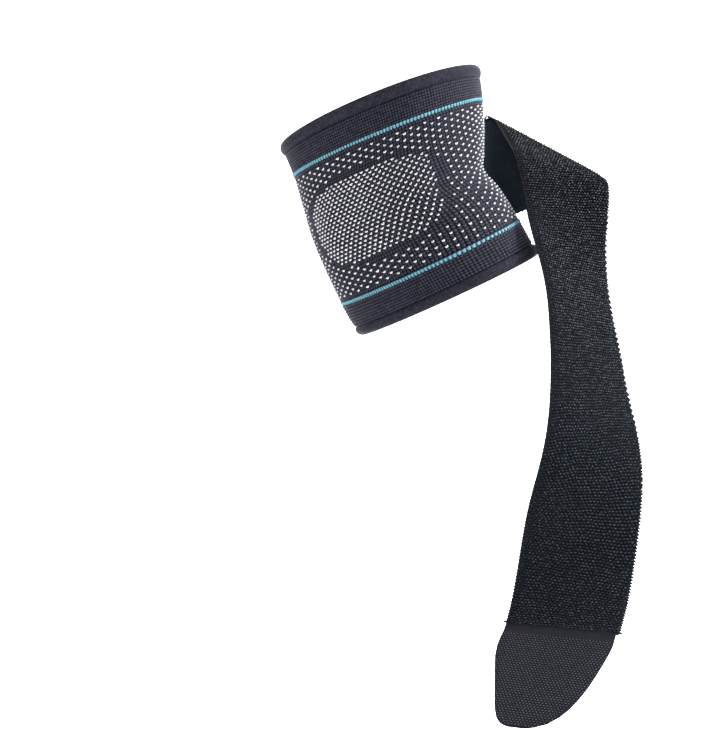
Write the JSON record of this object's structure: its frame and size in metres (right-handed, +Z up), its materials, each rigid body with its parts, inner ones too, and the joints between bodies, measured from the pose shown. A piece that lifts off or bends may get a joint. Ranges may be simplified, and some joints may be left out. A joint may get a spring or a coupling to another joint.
{
  "type": "elbow support",
  "caption": "Knitted forearm sleeve with rolled hems, coloured stripes and a padded oval, and an elastic loop strap that folds over and ends in a rounded hook tab.",
  "frame": {"origin": "middle of the sleeve's hollow, where the forearm goes through", "axes": "+Z up, +X to the right and +Y away from someone facing the oval pad"},
  "size_m": [0.1645, 0.1502, 0.2893],
  "materials": {
    "knit": "matt knitted yarn with pale dots",
    "webbing": "loop pile",
    "tab": "flat woven hook tape"
  },
  "bodies": {
    "root": {"sleeve": "knit", "strap": "webbing", "strap_tab": "tab"}
  },
  "joints": []
}
